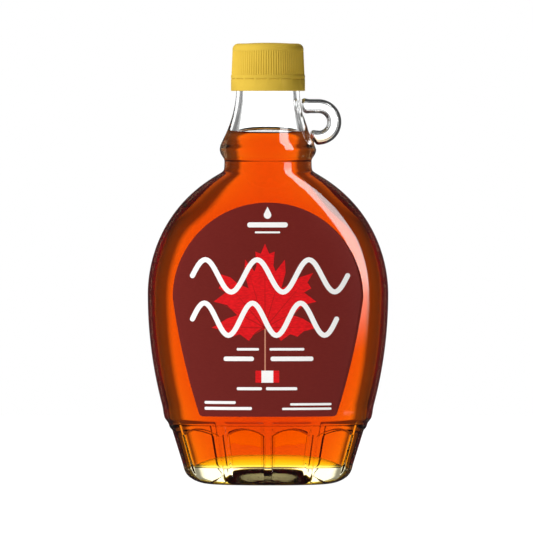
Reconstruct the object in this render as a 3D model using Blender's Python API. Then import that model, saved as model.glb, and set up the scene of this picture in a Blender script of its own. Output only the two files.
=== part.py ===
"""Oval glass flask with a ring handle at the neck, filled with syrup, with a screw cap and a front label.

Metres, +Z up, front towards -Y, ring handle towards +X, origin under the middle of the base.
The sizes below are in millimetres and are scaled once, when a mesh is made.
"""

import math

import bpy

MM = 0.001

# Whole bottle
CAP_TOP_Z = 176.4
RIM_Z = 174.6

# Body of the flask, front outline
WIDEST_Z = 75.5
HALF_WIDTH = 48.1
FLANK_RADIUS = 172.5
SHOULDER_RADIUS = 56.0
SHOULDER_DROP = 0.9
SHOULDER_DROP_REACH = 48.0
SHOULDER_DROP_POWER = 6

# Body of the flask, side outline
DEEPEST_Z = 70.0
HALF_DEPTH = 21.0
DEPTH_FALL = 0.00118
BODY_POWER = 2.5
ROUND_POWER = 2.0
ROUND_FROM_Z = 98.0
ROUND_AT_Z = 124.0

# Tapered foot under the ledge
LEDGE_LOW_Z = 23.9
LEDGE_HIGH_Z = 26.5
LEDGE_LIP = 0.45
LEDGE_LIP_REACH = 5.0
FOOT_HALF_WIDTH = 41.0
FOOT_HALF_DEPTH = 17.9
FOOT_TAPER_WIDTH = 0.308
FOOT_TAPER_DEPTH = 0.10
HEEL_HEIGHT = 7.0
HEEL_IN_WIDTH = 9.0
HEEL_FRONT_HEIGHT = 3.2
HEEL_IN_DEPTH = 2.6
RING_INNER_SHARE = 0.84
PUSH_UP = 6.4
PUSH_UP_POWER = 4

# Arched panels round the foot
PANEL_PITCH = 17.2
PANEL_RELIEF = 1.1
SPANDREL_RELIEF = 0.4
PANEL_LOW_Z = 4.6
PANEL_FLOOR_Z = 5.6
ARCH_SPRING_Z = 20.0
ARCH_RISE = 2.8
ARCH_EDGE = 0.6
PILLAR_SHARE = 0.08
PANEL_EDGE_SHARE = 0.115
PANEL_COLUMNS = (0.0, PILLAR_SHARE, PANEL_EDGE_SHARE, 0.3, 0.5, 0.7, 1 - PANEL_EDGE_SHARE, 1 - PILLAR_SHARE)

# Neck, waist, bulge and horn
WAIST_RADIUS = 17.3
BULGE_CENTRE_RADIUS = 14.3
BULGE_CENTRE_Z = 134.2
BULGE_ROUND = 5.0
FINISH_RADIUS = 12.5
HORN_TOP_Z = 160.0
HORN_ROUND = 48.0
SHOULDER_BLEND = 1.3
WAIST_BLEND = 1.0
BULGE_BLEND = 0.8

# Hollow
WALL = 2.9
BORE_RADIUS = 10.3
HORN_INNER_SHARE = 0.6
NECK_INNER_RADIUS = 14.8
NECK_INNER_BLEND = 1.5
FLOOR_Z = 6.8
FLOOR_DOME = 5.6
FLOOR_POWER = 4
FLOOR_CORNER_HEIGHT = 7.0
FLOOR_CORNER_WIDTH = 5.0
FLOOR_CORNER_DEPTH = 3.0

# Syrup
FILL_Z = 139.4
FILL_GAP = 0.3

# Ring handle
HANDLE_X = 20.2
HANDLE_Z = 144.6
HANDLE_ROUND = 6.3
HANDLE_THICK = 2.8
HANDLE_FLARE = 0.55
HANDLE_FLARE_REACH = 3.5
HANDLE_ROOT_X = 11.4
HANDLE_LOW_ROOT_X = 14.2
HANDLE_LOW_ROOT_DROP = 0.8
HANDLE_TURN_DEGREES = range(90, -91, -15)
HANDLE_SIDES = 14

# Screw cap
CAP_TOP_RADIUS = 14.2
CAP_SKIRT_RADIUS = 14.6
CAP_BAND_RADIUS = 14.8
CAP_EDGE_ROUND = 2.3
CAP_CROWN = 0.5
CAP_RIB_TOP_Z = 172.8
CAP_RING_TOP_Z = 163.4
CAP_SLIT_Z = 161.8
CAP_SLIT_HALF = 0.16
CAP_SLIT_DEPTH = 0.4
CAP_LOW_Z = 157.0
CAP_BORE = 12.95
CAP_INNER_TOP_Z = 174.9
CAP_RIBS = 90
CAP_RIB_DEPTH = 0.28
CAP_SIDES = 36
CAP_RIB_RUN_OUT = 0.3
CAP_RING_STEP = 0.1
CAP_EDGE_DEGREES = (0, 30, 60, 90)
CAP_CROWN_SHARES = (0.7, 0.4, 0.12)

# Front label
LABEL_LOW_Z = 27.8
LABEL_ROUND_Z = 75.0
LABEL_ROUND = 37.8
LABEL_LOW_HALF = 27.0
LABEL_SIDE_BOW = 1.1
LABEL_CORNER = 1.2
LABEL_GAP = 0.3
LABEL_THICK = 0.25
LABEL_COLUMNS = 14
LABEL_CORNER_SHARES = (0.0, 0.3, 1.0)
LABEL_SIDE_SHARES = (0.2, 0.4, 0.6, 0.8)
LABEL_ROUND_DEGREES = (0, 14, 28, 42, 55, 67, 77, 84)

# Heights of the loft's rings, and how finely it is divided
BODY_STATIONS = (29, 36, 48, 60, 72, 82, 91, 99, 106, 112, 117, 120.6)
NECK_STATIONS = (122.8, 124.2, 126.2, 129, 130.6, 132, 133.4, 135, 137, 140, 144, 149, 155, HORN_TOP_Z, RIM_Z)
HEEL_STATIONS = (0.5, 1.5, 3.0)
PUSH_UP_SHARES = (0.4, 0.6, 0.75, RING_INNER_SHARE)
HOLLOW_STATIONS = (30, 44, 58, 72, 83, 93, 102, 109, 114, 118, 121.5, 124, 127, 131, 136, 140, FILL_Z, 147, 154, 162)
FLOOR_DEGREES = (0, 28, 50, 70, 90)
FLOOR_SHARES = (0.3, 0.62, 0.86)
HOLLOW_SIDES = 40
MEASURING_STEPS = 3600
CUT_PAST_RIM = 2.0


def smooth_max(a, b, blend):
    return 0.5 * (a + b + math.sqrt((a - b) ** 2 + blend**2))


def smooth_min(a, b, blend):
    return 0.5 * (a + b - math.sqrt((a - b) ** 2 + blend**2))


def smooth_step(x):
    x = min(max(x, 0.0), 1.0)
    return x * x * (3 - 2 * x)


def mix(a, b, share):
    return a + (b - a) * share


def horn_rise(z):
    """How far the neck's concave sweep stands out of the finish at this height."""
    drop = min(max(HORN_TOP_Z - z, 0.0), HORN_ROUND)
    return HORN_ROUND - math.sqrt(HORN_ROUND**2 - drop**2)


def neck_radius(z):
    """The rounded bulge between the horn above it and the waist below it."""
    horn = FINISH_RADIUS + horn_rise(z)
    below = min(max(BULGE_CENTRE_Z - z, 0.0), BULGE_ROUND)
    above = max(z - BULGE_CENTRE_Z, 0.0)
    bulge = BULGE_CENTRE_RADIUS + math.sqrt(BULGE_ROUND**2 - below**2)
    return smooth_max(smooth_min(horn, bulge, BULGE_BLEND), WAIST_RADIUS - 2 * above, WAIST_BLEND)


def neck_inner_radius(z):
    horn = BORE_RADIUS + HORN_INNER_SHARE * horn_rise(z)
    return smooth_min(horn, NECK_INNER_RADIUS, NECK_INNER_BLEND)


def body_half_width(z, wall=0.0):
    """The flank's long arc below the widest height and the shoulder's arc above it."""
    height = z - WIDEST_Z
    if height < 0:
        return HALF_WIDTH - wall - (FLANK_RADIUS - math.sqrt(FLANK_RADIUS**2 - height**2))
    arc = math.sqrt(max((SHOULDER_RADIUS - wall) ** 2 - height**2, 0.0))
    drop = SHOULDER_DROP * (height / SHOULDER_DROP_REACH) ** SHOULDER_DROP_POWER
    return HALF_WIDTH - SHOULDER_RADIUS + arc - drop


def body_half_depth(z, wall=0.0):
    return HALF_DEPTH - wall - DEPTH_FALL * (z - DEEPEST_Z) ** 2


def power_at(z):
    return mix(BODY_POWER, ROUND_POWER, smooth_step((z - ROUND_FROM_Z) / (ROUND_AT_Z - ROUND_FROM_Z)))


def heel_short(share):
    """What a rounded heel lacks of its full reach at this share of its height."""
    return 1 - math.sqrt(1 - (1 - min(share, 1.0)) ** 2)


def outer_halves(z):
    """Half width and half depth of the glass at this height."""
    if z > BULGE_CENTRE_Z:
        return neck_radius(z), neck_radius(z)
    lip = LEDGE_LIP * (1 - smooth_step((z - LEDGE_HIGH_Z) / LEDGE_LIP_REACH))
    width = body_half_width(z) + lip
    depth = body_half_depth(z) + lip
    if z < LEDGE_HIGH_Z:
        share = smooth_step((z - LEDGE_LOW_Z) / (LEDGE_HIGH_Z - LEDGE_LOW_Z))
        foot_width = FOOT_HALF_WIDTH - FOOT_TAPER_WIDTH * (LEDGE_HIGH_Z - z)
        foot_depth = FOOT_HALF_DEPTH - FOOT_TAPER_DEPTH * (LEDGE_HIGH_Z - z)
        width = mix(foot_width, width, share) - HEEL_IN_WIDTH * heel_short(z / HEEL_HEIGHT)
        depth = mix(foot_depth, depth, share) - HEEL_IN_DEPTH * heel_short(z / HEEL_FRONT_HEIGHT)
    if z > WIDEST_Z:
        width = smooth_max(width, neck_radius(z), SHOULDER_BLEND)
        depth = mix(depth, neck_radius(z), smooth_step((z - ROUND_FROM_Z) / (ROUND_AT_Z - ROUND_FROM_Z)))
    return width, depth


def inner_halves(z, gap=0.0):
    """Half width and half depth of the hollow, or of what fills it with a gap to the wall."""
    if z > BULGE_CENTRE_Z:
        return neck_inner_radius(z) - gap, neck_inner_radius(z) - gap
    width = body_half_width(z, WALL)
    depth = body_half_depth(z, WALL)
    if z > WIDEST_Z:
        width = smooth_max(width, neck_inner_radius(z), SHOULDER_BLEND)
        depth = mix(depth, neck_inner_radius(z), smooth_step((z - ROUND_FROM_Z) / (ROUND_AT_Z - ROUND_FROM_Z)))
    return width - gap, depth - gap


def oval(width, depth, power, turns):
    """Points of a superellipse at these turns, where turn 0 is the front and a quarter turn is +X."""
    points = []
    for turn in turns:
        x = math.sin(turn)
        y = -math.cos(turn)
        across = math.copysign(abs(x) ** (2 / power), x) * width
        along = math.copysign(abs(y) ** (2 / power), y) * depth
        points.append((across, along))
    return points


def even_turns(count):
    return [2 * math.pi * i / count for i in range(count)]


def panel_edges(length):
    """Where the panels start and end along an outline of this length, from the front's middle.

    Four panels in front and four behind are equally wide, and one at each side takes what they leave.
    """
    side = length / 2 - 4 * PANEL_PITCH
    widths = [PANEL_PITCH, PANEL_PITCH, side, PANEL_PITCH, PANEL_PITCH] * 2
    return [sum(widths[:index]) for index in range(len(widths) + 1)]


def panel_turns():
    """Turns that fall on the edges of the panels."""
    middle = 0.5 * (PANEL_LOW_Z + ARCH_SPRING_Z)
    width, depth = outer_halves(middle)
    fine = even_turns(MEASURING_STEPS) + [2 * math.pi]
    points = oval(width, depth, BODY_POWER, fine)
    length = [0.0]
    for before, after in zip(points, points[1:]):
        length.append(length[-1] + math.dist(before, after))
    turns = []
    at = 0
    edges = panel_edges(length[-1])
    for start, end in zip(edges, edges[1:]):
        for column in PANEL_COLUMNS:
            wanted = mix(start, end, column)
            while length[at + 1] < wanted:
                at += 1
            share = (wanted - length[at]) / (length[at + 1] - length[at])
            turns.append(mix(fine[at], fine[at + 1], share))
    return turns


def ring(width, depth, power, turns, z):
    return [(x, y, z) for x, y in oval(width, depth, power, turns)]


def lofted(rings, close_low=True, close_high=True):
    """Vertices and faces of a skin over rings that run anticlockwise, upwards.

    A ring may have a whole number of times as many points as the next one.
    """
    vertices = []
    starts = []
    for points in rings:
        starts.append(len(vertices))
        vertices.extend(points)
    faces = []
    for low in range(len(rings) - 1):
        a, b = starts[low], starts[low + 1]
        n, m = len(rings[low]), len(rings[low + 1])
        few = min(n, m)
        for i in range(few):
            j = (i + 1) % few
            if n == m:
                faces.append((a + i, a + j, b + j, b + i))
                continue
            ratio = max(n, m) // few
            for k in range(ratio):
                start = i * ratio + k
                end = (start + 1) % (few * ratio)
                faces.append((a + start, a + end, b + i) if n > m else (b + end, b + start, a + i))
            last = (i + 1) * ratio % (few * ratio)
            faces.append((a + last, b + j, b + i) if n > m else (a + i, a + j, b + last))
    for closes, index in ((close_low, 0), (close_high, len(rings) - 1)):
        if not closes:
            continue
        points = rings[index]
        n = len(points)
        middle = tuple(sum(p[axis] for p in points) / n for axis in range(3))
        vertices.append(middle)
        hub = len(vertices) - 1
        for i in range(n):
            j = (i + 1) % n
            side = (starts[index] + i, starts[index] + j)
            faces.append((side[1], side[0], hub) if index == 0 else (side[0], side[1], hub))
    return vertices, faces


def mesh_object(name, vertices, faces, smooth=True):
    mesh = bpy.data.meshes.new(name)
    mesh.from_pydata([(x * MM, y * MM, z * MM) for x, y, z in vertices], [], faces)
    mesh.validate()
    mesh.polygons.foreach_set("use_smooth", [smooth] * len(mesh.polygons))
    obj = bpy.data.objects.new(name, mesh)
    bpy.context.scene.collection.objects.link(obj)
    return obj


def material(name, colour, roughness, transmission=0.0, ior=1.5):
    made = bpy.data.materials.new(name)
    made.use_nodes = True
    shader = made.node_tree.nodes["Principled BSDF"]
    shader.inputs["Base Color"].default_value = (*colour, 1.0)
    shader.inputs["Roughness"].default_value = roughness
    shader.inputs["Transmission Weight"].default_value = transmission
    shader.inputs["IOR"].default_value = ior
    return made


def helper(obj):
    obj.hide_render = True
    obj.display_type = "WIRE"
    return obj


def combine(obj, other, operation):
    made = obj.modifiers.new(operation.title(), "BOOLEAN")
    made.operation = operation
    made.solver = "EXACT"
    made.object = other


def panel_depth(column, z, spring, crown):
    """Depth below the pillars at a share of a panel's width: most under the arch, less over it."""
    inside = smooth_step((min(column, 1 - column) - PILLAR_SHARE) / (PANEL_EDGE_SHARE - PILLAR_SHARE))
    top = spring + (crown - spring) * arch_shape(column)
    up = smooth_step((z - PANEL_LOW_Z) / (PANEL_FLOOR_Z - PANEL_LOW_Z))
    down = smooth_step((top - z) / ARCH_EDGE)
    under_ledge = 1 - smooth_step((z - LEDGE_LOW_Z) / (LEDGE_HIGH_Z - LEDGE_LOW_Z))
    return mix(SPANDREL_RELIEF, PANEL_RELIEF, down) * inside * up * under_ledge


def arch_shape(column):
    """Height of the arch over its spring at a share of a panel's width, from 0 to 1."""
    half = 0.5 - PILLAR_SHARE
    across = min(abs(column - 0.5) / half, 1.0)
    return 1 - across**2


def foot_ring(z, turns, follows):
    """A ring of the foot with the panels pressed in. It follows the arches by this share of their rise."""
    points = []
    for index, turn in enumerate(turns):
        column = PANEL_COLUMNS[index % len(PANEL_COLUMNS)]
        height = z + follows * ARCH_RISE * arch_shape(column)
        width, depth = outer_halves(height)
        relief = panel_depth(column, height, ARCH_SPRING_Z, ARCH_SPRING_Z + ARCH_RISE)
        ((x, y),) = oval(width - relief, depth - relief, BODY_POWER, (turn,))
        points.append((x, y, height))
    return points


def glass_bottle():
    turns = panel_turns()
    neck_turns = turns[::2]
    inner_width, inner_depth = outer_halves(0.0)
    rings = []
    for share in PUSH_UP_SHARES:
        rise = PUSH_UP * (1 - (share / RING_INNER_SHARE) ** PUSH_UP_POWER)
        rings.append(ring(inner_width * share, inner_depth * share, BODY_POWER, neck_turns, rise))
    rings.append(ring(inner_width, inner_depth, BODY_POWER, turns, 0.0))
    for z in HEEL_STATIONS:
        rings.append(ring(*outer_halves(z), BODY_POWER, turns, z))
    for z, follows in (
        (PANEL_LOW_Z, 0.0),
        (PANEL_FLOOR_Z, 0.0),
        (0.5 * (PANEL_FLOOR_Z + ARCH_SPRING_Z), 0.3),
        (ARCH_SPRING_Z - ARCH_EDGE, 1.0),
        (ARCH_SPRING_Z, 1.0),
        (LEDGE_LOW_Z, 0.0),
        (mix(LEDGE_LOW_Z, LEDGE_HIGH_Z, 0.35), 0.0),
        (mix(LEDGE_LOW_Z, LEDGE_HIGH_Z, 0.65), 0.0),
        (LEDGE_HIGH_Z, 0.0),
    ):
        rings.append(foot_ring(z, turns, follows))
    for z in BODY_STATIONS:
        rings.append(ring(*outer_halves(z), power_at(z), turns, z))
    for z in NECK_STATIONS:
        rings.append(ring(*outer_halves(z), power_at(z), neck_turns, z))
    glass = mesh_object("glass_bottle", *lofted(rings))
    combine(glass, helper(handle_tube()), "UNION")
    combine(glass, helper(hollow("hollow_cutter", 0.0, RIM_Z + CUT_PAST_RIM)), "DIFFERENCE")
    glass.data.materials.append(material("clear_glass", (0.96, 0.98, 0.97), 0.02, 1.0, 1.52))
    return glass


def hollow_rings(gap, top_z):
    """Rings of the hollow from its domed floor up to a height, drawn in by a gap."""
    turns = even_turns(HOLLOW_SIDES)
    corner_top = FLOOR_Z + FLOOR_CORNER_HEIGHT
    rings = []
    wide, deep = inner_halves(corner_top)
    flat_width = wide - FLOOR_CORNER_WIDTH
    flat_depth = deep - FLOOR_CORNER_DEPTH
    for share in FLOOR_SHARES:
        z = FLOOR_Z + gap + FLOOR_DOME * (1 - share**FLOOR_POWER)
        rings.append(ring(flat_width * share, flat_depth * share, BODY_POWER, turns, z))
    for angle in FLOOR_DEGREES:
        out = math.sin(math.radians(angle))
        up = 1 - math.cos(math.radians(angle))
        z = FLOOR_Z + gap + (FLOOR_CORNER_HEIGHT - gap) * up
        width = flat_width + (FLOOR_CORNER_WIDTH - gap) * out
        depth = flat_depth + (FLOOR_CORNER_DEPTH - gap) * out
        rings.append(ring(width, depth, BODY_POWER, turns, z))
    for z in HOLLOW_STATIONS:
        if z < top_z:
            rings.append(ring(*inner_halves(z, gap), power_at(z), turns, z))
    rings.append(ring(*inner_halves(top_z, gap), power_at(top_z), turns, top_z))
    return rings


def hollow(name, gap, top_z):
    return mesh_object(name, *lofted(hollow_rings(gap, top_z)))


def handle_path():
    """Centreline points of the handle in the XZ plane, from its upper root to its lower one."""
    top = HANDLE_Z + HANDLE_ROUND
    path = [(HANDLE_ROOT_X, top), (mix(HANDLE_ROOT_X, HANDLE_X, 0.3), top), (mix(HANDLE_ROOT_X, HANDLE_X, 0.6), top)]
    for degrees in HANDLE_TURN_DEGREES:
        angle = math.radians(degrees)
        path.append((HANDLE_X + HANDLE_ROUND * math.cos(angle), HANDLE_Z + HANDLE_ROUND * math.sin(angle)))
    low = HANDLE_Z - HANDLE_ROUND
    for share in (0.4, 1.0):
        path.append((mix(HANDLE_X, HANDLE_LOW_ROOT_X, share), low - HANDLE_LOW_ROOT_DROP * share))
    return path


def handle_tube():
    path = handle_path()
    rings = []
    for index, (x, z) in enumerate(path):
        before = path[max(index - 1, 0)]
        after = path[min(index + 1, len(path) - 1)]
        along = math.atan2(after[1] - before[1], after[0] - before[0])
        side = (-math.sin(along), math.cos(along))
        root = neck_radius(z) if z < HORN_TOP_Z else FINISH_RADIUS
        clear = max(x - root, 0.0)
        flare = HANDLE_FLARE * (1 - smooth_step(clear / HANDLE_FLARE_REACH))
        thick = HANDLE_THICK + flare
        points = []
        for turn in even_turns(HANDLE_SIDES):
            out = thick * math.cos(turn)
            points.append((x + side[0] * out, thick * math.sin(turn), z + side[1] * out))
        rings.append(points)
    return mesh_object("handle_tube", *lofted(rings))


def maple_syrup():
    syrup = mesh_object("maple_syrup", *lofted(hollow_rings(FILL_GAP, FILL_Z)))
    syrup.data.materials.append(material("syrup", (0.75, 0.22, 0.02), 0.05, 0.9, 1.49))
    return syrup


def cap_ring(radius, z, sides=CAP_SIDES):
    return ring(radius, radius, ROUND_POWER, even_turns(sides), z)


def ribbed_ring(radius, z):
    """A ring of upright ribs: every second point is drawn in to the foot of a groove."""
    turns = even_turns(2 * CAP_RIBS)
    points = []
    for index, turn in enumerate(turns):
        reach = radius - CAP_RIB_DEPTH * (index % 2)
        points.append((reach * math.sin(turn), -reach * math.cos(turn), z))
    return points


def screw_cap():
    rings = [cap_ring(CAP_BORE, CAP_INNER_TOP_Z), cap_ring(CAP_BORE, CAP_LOW_Z), cap_ring(CAP_BAND_RADIUS, CAP_LOW_Z)]
    rings.append(cap_ring(CAP_BAND_RADIUS, CAP_SLIT_Z - CAP_SLIT_HALF))
    rings.append(cap_ring(CAP_BAND_RADIUS - CAP_SLIT_DEPTH, CAP_SLIT_Z - CAP_SLIT_HALF))
    rings.append(cap_ring(CAP_BAND_RADIUS - CAP_SLIT_DEPTH, CAP_SLIT_Z + CAP_SLIT_HALF))
    rings.append(cap_ring(CAP_BAND_RADIUS, CAP_SLIT_Z + CAP_SLIT_HALF))
    rings.append(cap_ring(CAP_BAND_RADIUS, CAP_RING_TOP_Z))
    rings.append(ribbed_ring(CAP_SKIRT_RADIUS, CAP_RING_TOP_Z + CAP_RING_STEP))
    rings.append(ribbed_ring(CAP_TOP_RADIUS, CAP_RIB_TOP_Z))
    rings.append(cap_ring(CAP_TOP_RADIUS, CAP_RIB_TOP_Z + CAP_RIB_RUN_OUT))
    for degrees in CAP_EDGE_DEGREES:
        angle = math.radians(degrees)
        radius = CAP_TOP_RADIUS - CAP_EDGE_ROUND * (1 - math.cos(angle))
        rings.append(cap_ring(radius, CAP_TOP_Z - CAP_CROWN - CAP_EDGE_ROUND * (1 - math.sin(angle))))
    for share in CAP_CROWN_SHARES:
        rings.append(cap_ring(share * (CAP_TOP_RADIUS - CAP_EDGE_ROUND), CAP_TOP_Z - CAP_CROWN * share**2))
    cap = mesh_object("screw_cap", *lofted(rings))
    cap.data.materials.append(material("cap_plastic", (0.78, 0.57, 0.10), 0.4))
    return cap


def label_half(z):
    """Half width of the label at this height: a half round above straight, drawn-in sides."""
    if z >= LABEL_ROUND_Z:
        return math.sqrt(max(LABEL_ROUND**2 - (z - LABEL_ROUND_Z) ** 2, 0.0))
    share = (z - LABEL_LOW_Z) / (LABEL_ROUND_Z - LABEL_LOW_Z)
    half = mix(LABEL_LOW_HALF, LABEL_ROUND, share) + LABEL_SIDE_BOW * 4 * share * (1 - share)
    corner = max(LABEL_CORNER - (z - LABEL_LOW_Z), 0.0)
    return half - (LABEL_CORNER - math.sqrt(LABEL_CORNER**2 - corner**2))


def front_point(x, z, lift):
    """The point over x on the front of the glass at this height, lifted off it."""
    width, depth = outer_halves(z)
    power = power_at(z)
    across = abs(x) / width
    y = -depth * (1 - across**power) ** (1 / power)
    slope_x = across ** (power - 1) / width
    slope_y = (abs(y) / depth) ** (power - 1) / depth
    size = math.hypot(slope_x, slope_y)
    return (x + math.copysign(slope_x, x) / size * lift, y - slope_y / size * lift, z)


def label_heights():
    rows = [LABEL_LOW_Z + LABEL_CORNER * share for share in LABEL_CORNER_SHARES]
    rows += [LABEL_LOW_Z + (LABEL_ROUND_Z - LABEL_LOW_Z) * share for share in LABEL_SIDE_SHARES]
    for degrees in LABEL_ROUND_DEGREES:
        rows.append(LABEL_ROUND_Z + LABEL_ROUND * math.sin(math.radians(degrees)))
    return rows


def front_label():
    """A thin sheet that follows the front of the glass."""
    rows = label_heights()
    across = LABEL_COLUMNS + 1
    vertices = []
    for lift in (LABEL_GAP, LABEL_GAP + LABEL_THICK):
        for z in rows:
            half = label_half(z)
            for column in range(across):
                vertices.append(front_point(half * (2 * column / LABEL_COLUMNS - 1), z, lift))
    back = len(rows) * across
    faces = []
    for row in range(len(rows) - 1):
        for column in range(LABEL_COLUMNS):
            a = row * across + column
            faces.append((a + across, a + across + 1, a + 1, a))
            faces.append((back + a, back + a + 1, back + a + across + 1, back + a + across))
    rim = [column for column in range(across)]
    rim += [row * across + LABEL_COLUMNS for row in range(1, len(rows))]
    rim += [(len(rows) - 1) * across + column for column in range(LABEL_COLUMNS - 1, -1, -1)]
    rim += [row * across for row in range(len(rows) - 2, 0, -1)]
    for here, after in zip(rim, rim[1:] + rim[:1]):
        faces.append((here, after, back + after, back + here))
    label = mesh_object("front_label", vertices, faces)
    label.data.materials.append(material("label_paper", (0.15, 0.016, 0.012), 0.5))
    return label


def main():
    for obj in list(bpy.data.objects):
        bpy.data.objects.remove(obj, do_unlink=True)
    glass_bottle()
    maple_syrup()
    screw_cap()
    front_label()


main()
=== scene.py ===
"""Looks of an oval glass flask of syrup with a ring handle, a screw cap and a front label.

Sizes are in millimetres in the frame of the CAD model and are scaled once, when a mesh is made.
"""

import math

import bpy
import numpy as np
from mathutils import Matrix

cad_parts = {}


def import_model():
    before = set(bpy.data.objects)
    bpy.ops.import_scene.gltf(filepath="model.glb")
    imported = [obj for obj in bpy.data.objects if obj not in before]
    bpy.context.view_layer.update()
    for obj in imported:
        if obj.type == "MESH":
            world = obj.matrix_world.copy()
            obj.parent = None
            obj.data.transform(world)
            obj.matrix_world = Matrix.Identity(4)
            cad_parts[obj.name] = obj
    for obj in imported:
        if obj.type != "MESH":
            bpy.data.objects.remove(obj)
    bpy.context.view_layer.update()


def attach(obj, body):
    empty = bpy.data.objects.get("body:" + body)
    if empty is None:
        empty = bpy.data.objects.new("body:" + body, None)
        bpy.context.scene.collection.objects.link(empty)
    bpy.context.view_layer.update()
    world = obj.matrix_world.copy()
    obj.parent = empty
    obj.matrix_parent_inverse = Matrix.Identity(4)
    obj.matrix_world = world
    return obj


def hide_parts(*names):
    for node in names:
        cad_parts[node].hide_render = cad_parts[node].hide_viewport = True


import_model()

MM = 0.001

# Whole bottle
CAP_TOP_Z = 176.4
RIM_Z = 174.6

# Body of the flask
WIDEST_Z = 75.5
HALF_WIDTH = 48.1
FLANK_RADIUS = 172.5
SHOULDER_RADIUS = 56.0
SHOULDER_DROP = 0.9
SHOULDER_DROP_REACH = 48.0
SHOULDER_DROP_POWER = 6
DEEPEST_Z = 70.0
HALF_DEPTH = 21.0
DEPTH_FALL = 0.00118
BODY_POWER = 2.5
ROUND_POWER = 2.0
ROUND_FROM_Z = 98.0
ROUND_AT_Z = 124.0

# Tapered foot under the ledge
LEDGE_LOW_Z = 23.9
LEDGE_HIGH_Z = 26.5
LEDGE_LIP = 0.45
LEDGE_LIP_REACH = 5.0
FOOT_HALF_WIDTH = 41.0
FOOT_HALF_DEPTH = 17.9
FOOT_TAPER_WIDTH = 0.308
FOOT_TAPER_DEPTH = 0.10
HEEL_HEIGHT = 7.0
HEEL_IN_WIDTH = 9.0
HEEL_FRONT_HEIGHT = 3.2
HEEL_IN_DEPTH = 2.6
RING_INNER_SHARE = 0.84
PUSH_UP = 6.4
PUSH_UP_POWER = 4

# Arched panels round the foot
PANEL_PITCH = 17.2
PANEL_RELIEF = 1.1
SPANDREL_RELIEF = 0.4
PANEL_LOW_Z = 1.6
PANEL_FLOOR_Z = 7.6
ARCH_SPRING_Z = 20.0
ARCH_RISE = 2.8
ARCH_EDGE = 0.6
PILLAR_SHARE = 0.08
PANEL_EDGE_SHARE = 0.115

# Neck, waist, bulge and horn
WAIST_RADIUS = 17.3
WAIST_FALL = 2
BULGE_CENTRE_RADIUS = 14.3
BULGE_CENTRE_Z = 134.2
BULGE_ROUND = 5.0
FINISH_RADIUS = 12.5
HORN_TOP_Z = 160.0
HORN_ROUND = 48.0
SHOULDER_BLEND = 1.3
WAIST_BLEND = 1.0
BULGE_BLEND = 0.8

# Hollow and syrup
WALL = 2.9
BORE_RADIUS = 10.3
HORN_INNER_SHARE = 0.6
NECK_INNER_RADIUS = 14.8
NECK_INNER_BLEND = 1.5
FLOOR_Z = 6.8
FLOOR_DOME = 5.6
FLOOR_POWER = 4
FLOOR_CORNER_HEIGHT = 7.0
FLOOR_CORNER_WIDTH = 5.0
FLOOR_CORNER_DEPTH = 3.0
FILL_Z = 139.4
SYRUP_REACH = 0.12
# Painted yellow light in the glass's base: full up to the first height, faded into the filled tint by the
# second
BASE_PAINTED_LIGHT_Z = 7.0
BASE_PAINTED_LIGHT_END_Z = 14.0
TINT_FADE = 2.0
TINT_SPAN = 150.0
MENISCUS_RISE = 0.8
MENISCUS_WIDTH = 1.6
MENISCUS_ROWS_FROM = 1.2
WETTED_OVER_PUSH_UP = 1.0

# Ring handle
HANDLE_X = 20.2
HANDLE_Z = 144.6
HANDLE_ROUND = 6.3
HANDLE_THICK = 2.8
HANDLE_FLARE = 0.55
HANDLE_FLARE_REACH = 3.5
HANDLE_ROOT_X = 11.4
HANDLE_LOW_ROOT_X = 14.2
HANDLE_LOW_ROOT_DROP = 0.8
SEAM_REACH = 1.6
SEAM_ROUNDS = 40
SEAM_STEP = 0.6
SEAM_LOW_Z = 130
SEAM_HIGH_Z = 158
SEAM_HALF_DEPTH = 8
SEAM_FLARE = 0.3

# Screw cap
CAP_TOP_RADIUS = 14.2
CAP_SKIRT_RADIUS = 14.6
CAP_BAND_RADIUS = 14.8
CAP_EDGE_ROUND = 2.3
CAP_CROWN = 0.5
CAP_RIB_TOP_Z = 172.8
CAP_RING_TOP_Z = 163.4
CAP_SLIT_Z = 161.8
CAP_SLIT_HALF = 0.13
CAP_SLIT_DEPTH = 0.3
CAP_LOW_Z = 157.0
CAP_BORE = 12.95
CAP_INNER_TOP_Z = 174.9
CAP_RIBS = 90
CAP_RIB_DEPTH = 0.3
CAP_BRIDGES = 18
CAP_BRIDGE_SHARE = 0.16
CAP_BRIDGE_SLOPE = 0.03
CAP_RIB_ROUND = 1.5
CAP_DISH = 0.16

# Rows of the band's lower edge and of the ring's upper edge: how far in, and how far up or down
CAP_LOW_EDGE = ((0.25, 0.0), (0.06, 0.08), (0.0, 0.3))
CAP_RING_EDGE = ((0.0, 0.25), (0.07, 0.06))
CAP_STEP_IN = 0.02
CAP_STEP_UP = 0.05
# Rows of the slit's lower edge, which the upper edge mirrors: how far up, and how deep
CAP_SLIT_EDGE = ((-0.12, 0.0), (0.0, 0.08), (0.03, CAP_SLIT_DEPTH))
# Rows where the ribs end: how far up, and the share of their depth that is left
CAP_RIB_FOOT_SHARE = 0.9
CAP_RIB_END = ((0.15, 0.75), (0.35, 0.25), (0.55, 0.0))
# Rows of the shallow dish in the crowned top: the radius, and how far below the crown
CAP_DISH_EDGE = ((11.6, 0.0), (11.3, 0.05), (10.9, 0.14))
CAP_DISH_RADII = (10.4, 8.0, 5.0, 2.5, 0.5)

# Front label, laid on the glass
LABEL_LOW_Z = 27.8
LABEL_ROUND_Z = 75.0
LABEL_ROUND = 37.8
LABEL_LOW_HALF = 27.0
LABEL_SIDE_BOW = 1.1
LABEL_CORNER = 1.2
LABEL_LIFT = 0.04
LABEL_THICK = 0.14
PRINT_SINK = 0.02
PRISM_FRONT_Y = -40.0
PRISM_BACK_Y = -2.0
VEIN_HALF = 0.28

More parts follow.
